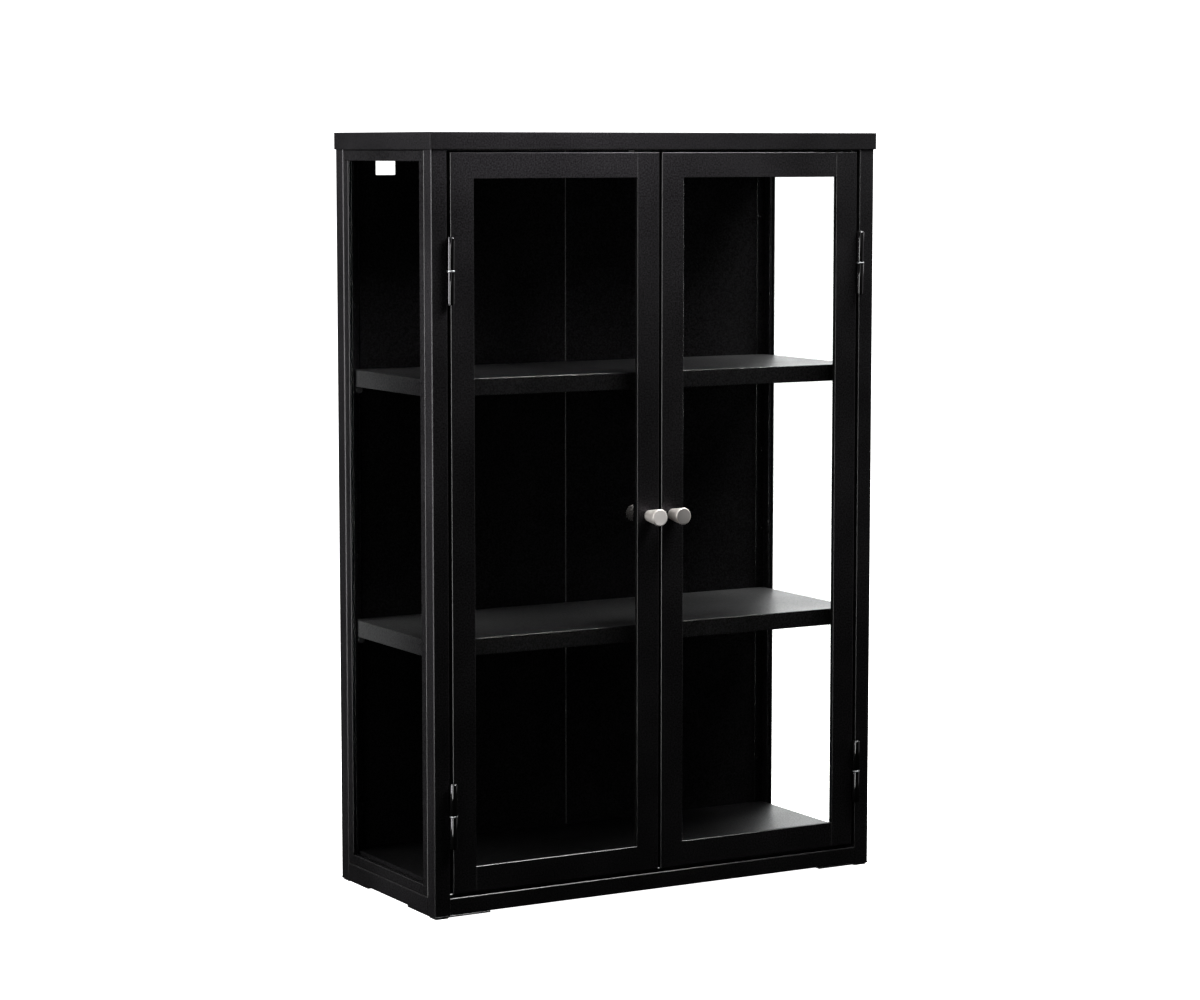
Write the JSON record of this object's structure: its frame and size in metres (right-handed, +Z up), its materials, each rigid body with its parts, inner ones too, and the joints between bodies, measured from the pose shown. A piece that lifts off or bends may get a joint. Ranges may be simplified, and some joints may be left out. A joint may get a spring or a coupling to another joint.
{
  "type": "glazed display cabinet",
  "caption": "Shallow black steel display cabinet with glazed sides, paired glazed doors on lift-off hinges, conical knobs, removable shelves and slots in the back for hanging it on a wall.",
  "frame": {"origin": "on the floor, below the middle of the bounding box of the closed cabinet, knobs included", "axes": "+X to the right seen from the front, +Y to the back (the wall side), +Z up"},
  "size_m": [0.604, 0.277, 0.9],
  "materials": {
    "black_paint": "satin black powder coat with a fine texture",
    "knob_steel": "fine brushed satin nickel look",
    "zinc_steel": "bright zinc plating",
    "clear_glass": "clear float glass, polished",
    "rubber_pad": "matt",
    "catch_plastic": "fine moulded grain"
  },
  "bodies": {
    "cabinet": {"post_front_left": "black_paint", "post_front_right": "black_paint", "post_rear_left": "black_paint", "post_rear_right": "black_paint", "bottom_rail_front": "black_paint", "bottom_rail_rear": "black_paint", "bottom_rail_left": "black_paint", "bottom_rail_right": "black_paint", "top_rail_front": "black_paint", "top_rail_rear": "black_paint", "top_rail_left": "black_paint", "top_rail_right": "black_paint", "top_cap": "black_paint", "floor_panel": "black_paint", "back_panel_left": "black_paint", "back_panel_right": "black_paint", "side_bead_frame_left": "black_paint", "side_bead_frame_right": "black_paint", "side_glass_left": "clear_glass", "side_glass_right": "clear_glass", "side_retainer_left": "black_paint", "side_retainer_right": "black_paint", "shelf_upper": "black_paint", "shelf_lower": "black_paint", "shelf_pins": "zinc_steel", "post_screws": "black_paint", "back_panel_screws": "zinc_steel", "seam_bolts": "zinc_steel", "corner_plates": "black_paint", "foot_pads": "rubber_pad", "hinge_upper_left_post_half": "black_paint", "hinge_lower_left_post_half": "black_paint", "hinge_upper_right_post_half": "black_paint", "hinge_lower_right_post_half": "black_paint", "hinge_pins": "zinc_steel", "hinge_washers": "zinc_steel", "magnetic_catch": "catch_plastic"},
    "left_door": {"left_door_hinge_stile": "black_paint", "left_door_lock_stile": "black_paint", "left_door_top_rail": "black_paint", "left_door_bottom_rail": "black_paint", "left_door_glass": "clear_glass", "left_door_glazing_strips": "black_paint", "hinge_upper_left_door_half": "black_paint", "hinge_lower_left_door_half": "black_paint", "left_knob": "knob_steel", "left_knob_screw": "zinc_steel", "left_strike_plate": "zinc_steel"},
    "right_door": {"right_door_hinge_stile": "black_paint", "right_door_lock_stile": "black_paint", "right_door_top_rail": "black_paint", "right_door_bottom_rail": "black_paint", "right_door_glass": "clear_glass", "right_door_glazing_strips": "black_paint", "hinge_upper_right_door_half": "black_paint", "hinge_lower_right_door_half": "black_paint", "right_knob": "knob_steel", "right_knob_screw": "zinc_steel", "right_strike_plate": "zinc_steel"}
  },
  "joints": [
    {"name": "left_door_hinge", "type": "hinge", "parent": "cabinet", "child": "left_door", "pos_m": [-0.278, -0.1165, 0], "axis": [0, 0, -1], "range_deg": [0, 180]},
    {"name": "right_door_hinge", "type": "hinge", "parent": "cabinet", "child": "right_door", "pos_m": [0.278, -0.1165, 0], "axis": [0, 0, 1], "range_deg": [0, 180]}
  ]
}
